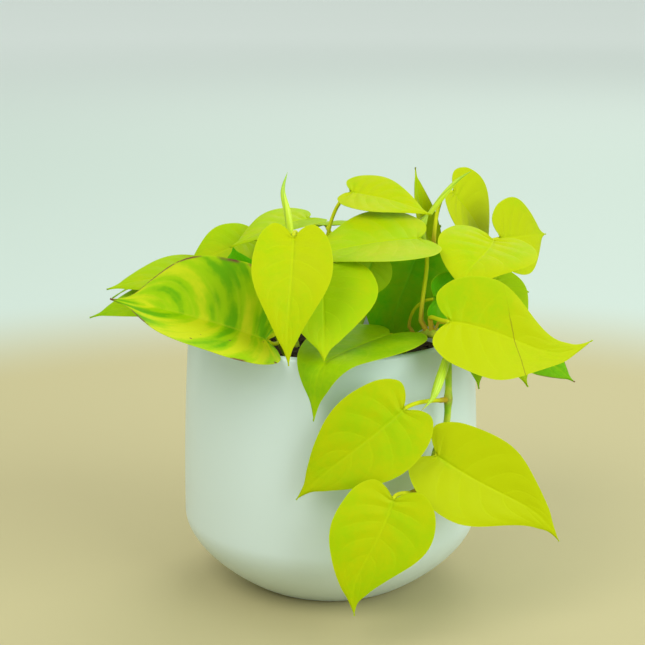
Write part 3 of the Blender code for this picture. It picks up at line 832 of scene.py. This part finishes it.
leafLooks = {
    "lime_leaf": {
        "tones": [(0.0, (0.575, 0.645, 0.0004)), (0.25, (0.43, 0.645, 0.0004)), (0.60, (0.17, 0.50, 0.0005)),
                  (1.0, (0.03, 0.20, 0.001))],
        "vein": (0.66, 0.78, 0.004), "veinShare": 0.25, "stripes": 0.0,
    },
    "shaded_leaf": {
        "tones": [(0.0, (0.60, 0.72, 0.0005)), (0.30, (0.42, 0.62, 0.001)), (0.65, (0.12, 0.58, 0.001)),
                  (1.0, (0.03, 0.30, 0.001))],
        "vein": (0.24, 0.64, 0.01), "veinShare": 0.45, "stripes": 0.0,
    },
    "striped_leaf": {
        "tones": [(0.0, (0.66, 0.72, 0.010)), (0.35, (0.40, 0.64, 0.001)), (0.65, (0.18, 0.48, 0.001)),
                  (1.0, (0.05, 0.26, 0.002))],
        "vein": (0.60, 0.68, 0.02), "veinShare": 0.30, "stripes": 0.74,
    },
}
# The creased colour is painted shade along the bend across a blade.
leafFinish = {
    "stalkGreen": (0.72, 0.76, 0.01), "stalkOrange": (0.62, 0.44, 0.03), "edge": (0.64, 0.74, 0.01),
    "brown": (0.24, 0.10, 0.045), "foldShadeColour": (0.30, 0.24, 0.01), "under": (0.46, 0.64, 0.03),
    "roughness": 0.48, "specular": 0.09, "through": 0.30,
}


def veinLines(tree, width, along, offset):  # the lines, and a place that counts the side veins
    lean = linkMath(tree, "POWER", width, leafShape["veinBow"])
    lean = linkMath(tree, "MULTIPLY", lean, leafShape["veinLean"])
    veinPlace = linkMath(tree, "MULTIPLY", linkMath(tree, "SUBTRACT", along, lean), leafShape["veins"])
    veins = linkRange(tree, linkMath(tree, "PINGPONG", veinPlace, 0.5), 0.0, 0.10, 1, 0)
    veins = linkMath(tree, "MULTIPLY", veins, linkRange(tree, width, 0.55, 0.95, 1, 0))
    midrib = linkRange(tree, linkMath(tree, "ABSOLUTE", offset), 0.25, 0.9, 1, 0)
    midrib = linkMath(tree, "MULTIPLY", midrib, linkRange(tree, along, 0.5, 1.0, 1, 0.2))
    return linkMath(tree, "MAXIMUM", midrib, linkMath(tree, "MULTIPLY", veins, 0.5)), veinPlace


def bladeTone(tree, look, across, along, veinPlace, cloudy, mottle):
    streakPlace = tree.nodes.new("ShaderNodeCombineXYZ")  # streaks that follow the side veins
    tree.links.new(veinPlace, streakPlace.inputs["X"])
    tree.links.new(linkMath(tree, "MULTIPLY", across, 0.8), streakPlace.inputs["Y"])
    streaks = linkNoise(tree, streakPlace.outputs[0], 1.0, 3, 0.45)
    streaks = linkRange(tree, streaks, 0.32, 0.68, 0.5 * look["stripes"], -0.5 * look["stripes"])
    nearMidrib = linkRange(tree, linkMath(tree, "ABSOLUTE", across), 0, 0.5, 1, 0)
    nearNotch = linkMath(tree, "MULTIPLY", linkRange(tree, along, 0.0, 0.45, 0.07, 0), nearMidrib)
    clouds = linkRange(tree, cloudy, 0.25, 0.75, -0.07, 0.07)
    flecks = linkRange(tree, mottle, 0.3, 0.7, -0.025, 0.025)
    tone = attribute(tree, "tone")
    for shift in (clouds, flecks, nearNotch):
        tone = linkMath(tree, "ADD", tone, shift)
    return linkMath(tree, "ADD", tone, streaks, clamp=True)


def wornMarks(tree, place, across, along, cloudy, mottle):  # brown tip, worn margin, scar and spots
    tip = linkMath(tree, "ADD", along, linkMath(tree, "MULTIPLY", mottle, 0.03))
    tip = linkRange(tree, tip, 0.975, 1.0)
    edge = linkRange(tree, linkMath(tree, "ABSOLUTE", across), 0.93, 0.99)
    edge = linkMath(tree, "MULTIPLY", edge, linkRange(tree, cloudy, 0.52, 0.60))
    scar = linkRange(tree, across, 0.955, 0.985)
    scar = linkMath(tree, "MULTIPLY", scar, linkRange(tree, along, 0.62, 0.66))
    scar = linkMath(tree, "MULTIPLY", scar, linkRange(tree, mottle, 0.38, 0.50, 0.35, 1))
    marks = linkRange(tree, linkNoise(tree, place, 300, 1), 0.755, 0.785)
    for mark in (tip, edge, scar):
        marks = linkMath(tree, "MAXIMUM", marks, mark)
    return linkMath(tree, "MULTIPLY", marks, attribute(tree, "wear"))


def paintedFoldShade(tree, run, offset, mottle):  # painted shade: a dark line across the blade where it is bent
    at = linkMath(tree, "ADD", attribute(tree, "crease"), linkMath(tree, "MULTIPLY", offset, 0.40))
    at = linkMath(tree, "ADD", at, linkMath(tree, "MULTIPLY", mottle, 1.2))
    away = linkMath(tree, "ABSOLUTE", linkMath(tree, "SUBTRACT", run, at))
    line = linkRange(tree, away, 0.08, 0.40, 0.75, 0)
    return linkMath(tree, "MULTIPLY", line, linkRange(tree, offset, -15, -5, 0.1, 1))


def leafSkin(name, look):
    material, tree, shader = newMaterial(name)
    place = objectPlace(tree)
    across, along, stalk = attribute(tree, "across"), attribute(tree, "along"), attribute(tree, "stalk")
    offset, run = attribute(tree, "offset"), attribute(tree, "run")
    width = linkMath(tree, "ABSOLUTE", across)
    cloudy = linkNoise(tree, place, 55, 3, 0.5)
    mottle = linkNoise(tree, place, 420, 4, 0.6)
    lines, veinPlace = veinLines(tree, width, along, offset)

    blade = linkRamp(tree, bladeTone(tree, look, across, along, veinPlace, cloudy, mottle), look["tones"])
    blade = linkMix(tree, linkMath(tree, "MULTIPLY", lines, look["veinShare"]), blade, look["vein"])
    blade = linkMix(tree, linkRange(tree, width, 0.965, 1.0, 0, 0.5), blade, leafFinish["edge"])
    under = linkMath(tree, "MULTIPLY", attribute(tree, "under"), 0.45)
    blade = linkMix(tree, under, blade, leafFinish["under"])
    # painted shade of the bend across the blade
    blade = linkMix(tree, paintedFoldShade(tree, run, offset, mottle), blade, leafFinish["foldShadeColour"])
    marks = wornMarks(tree, place, across, along, cloudy, mottle)
    blade = linkMix(tree, marks, blade, leafFinish["brown"])

    foot = linkRange(tree, stalk, 0.72, 1.0)
    stalkColour = linkMix(tree, foot, leafFinish["stalkGreen"], leafFinish["stalkOrange"])
    colour = linkMix(tree, linkRange(tree, stalk, 0.0, 0.3), blade, stalkColour)
    tree.links.new(colour, shader.inputs["Base Color"])
    sheen = linkRange(tree, mottle, 0.3, 0.7, leafFinish["roughness"] - 0.05, leafFinish["roughness"] + 0.08)
    tree.links.new(sheen, shader.inputs["Roughness"])
    shader.inputs["Specular IOR Level"].default_value = leafFinish["specular"]
    height = linkMath(tree, "SUBTRACT", linkMath(tree, "MULTIPLY", mottle, 0.5), lines)
    normal = linkBump(tree, height, 0.35, 0.0003)
    tree.links.new(normal, shader.inputs["Normal"])

    glow = tree.nodes.new("ShaderNodeBsdfTranslucent")  # light that comes through a thin blade
    tree.links.new(colour, glow.inputs["Color"])
    tree.links.new(normal, glow.inputs["Normal"])
    both = tree.nodes.new("ShaderNodeMixShader")
    both.inputs["Fac"].default_value = leafFinish["through"]
    tree.links.new(shader.outputs[0], both.inputs[1])
    tree.links.new(glow.outputs[0], both.inputs[2])
    tree.links.new(both.outputs[0], tree.nodes["Material Output"].inputs["Surface"])
    return material


framed = {name: leafFrame(values, i) for i, (name, values) in enumerate(leaves.items())}
skins = {name: leafSkin(name.replace("_", "") + "Skin", look) for name, look in leafLooks.items()}
for name, leaf in framed.items():
    makeLeaf(name, leaf, skins[leaf["look"]])
print("leaves made")
makeVines([nearestOnVines(leaf["foot"]) for leaf in framed.values()])
print("vines made")


# Floor, light and camera, places in metres
studio = {
    "floorSize": 80.0, "floorNear": (0.48, 0.42, 0.215), "floorFar": (0.525, 0.61, 0.545),
    "floorFarthest": (0.92, 0.96, 0.93), "floorUnderLamps": (0.34, 0.40, 0.36), "floorRoughness": 0.8,
    "farFrom": (0.42, 0.68), "farthestFrom": (1.2, 5.0), "underLamps": (-1.1, -0.6),
    "sky": (0.90, 0.98, 0.93), "skyStrength": 0.72, "aim": (0, 0, 0.1),
    "key": {"place": (-1.2, -1.5, 2.1), "size": 1.75, "power": 30.5, "colour": (1.0, 0.99, 0.96)},
    "fill": {"place": (1.75, -1.3, 1.1), "size": 2.2, "power": 42.0, "colour": (0.88, 0.97, 1.0)},
    "back": {"place": (0.5, 1.9, 2.05), "size": 1.9, "power": 23.0, "colour": (1.0, 1.0, 1.0)},
    "cameraPlace": (0.0, -0.7587, 0.3188), "cameraPitch": 13.75, "cameraYaw": 0.32, "lens": 86.4,
}


def makeFloor():
    bm = bmesh.new()
    bmesh.ops.create_grid(bm, x_segments=1, y_segments=1, size=studio["floorSize"] / 2)
    mesh = bpy.data.meshes.new("floor")
    bm.to_mesh(mesh)
    bm.free()
    floor = bpy.data.objects.new("floor", mesh)
    bpy.context.scene.collection.objects.link(floor)
    material, tree, shader = newMaterial("floorPaint")
    away = tree.nodes.new("ShaderNodeVectorMath")
    away.operation = "LENGTH"
    tree.links.new(objectPlace(tree), away.inputs[0])
    far = linkRange(tree, away.outputs["Value"], *studio["farFrom"])
    farthest = linkRange(tree, away.outputs["Value"], *studio["farthestFrom"])
    colour = linkMix(tree, far, studio["floorNear"], studio["floorFar"])
    parts = tree.nodes.new("ShaderNodeSeparateXYZ")
    tree.links.new(objectPlace(tree), parts.inputs[0])
    underLamps = linkRange(tree, parts.outputs["Y"], *studio["underLamps"], 1, 0)  # in front of the pot
    colour = linkMix(tree, underLamps, colour, studio["floorUnderLamps"])
    colour = linkMix(tree, farthest, colour, studio["floorFarthest"])
    tree.links.new(colour, shader.inputs["Base Color"])
    shader.inputs["Roughness"].default_value = studio["floorRoughness"]
    mesh.materials.append(material)


def makeLight():
    world = bpy.data.worlds.new("softSky")
    bpy.context.scene.world = world
    world.use_nodes = True
    sky = world.node_tree.nodes["Background"]
    sky.inputs["Color"].default_value = (*studio["sky"], 1)
    sky.inputs["Strength"].default_value = studio["skyStrength"]

    for name in ("key", "fill", "back"):
        values = studio[name]
        light = bpy.data.lights.new(name + "Light", "AREA")
        light.shape = "DISK"
        light.size = values["size"]
        light.energy = values["power"]
        light.color = values["colour"]
        lamp = bpy.data.objects.new(name + "Light", light)
        lamp.location = values["place"]
        heading = Vector(studio["aim"]) - lamp.location
        lamp.rotation_euler = heading.to_track_quat("-Z", "Y").to_euler()
        bpy.context.scene.collection.objects.link(lamp)


def makeCamera():
    camera = bpy.data.objects.new("camera", bpy.data.cameras.new("camera"))
    camera.data.lens = studio["lens"]
    camera.location = studio["cameraPlace"]
    pitch, yaw = math.radians(90 - studio["cameraPitch"]), math.radians(studio["cameraYaw"])
    camera.rotation_euler = (pitch, 0, yaw)
    bpy.context.scene.collection.objects.link(camera)
    bpy.context.scene.camera = camera
    bpy.context.scene.view_settings.view_transform = "Standard"


makeFloor()
makeLight()
makeCamera()
print("studio made")
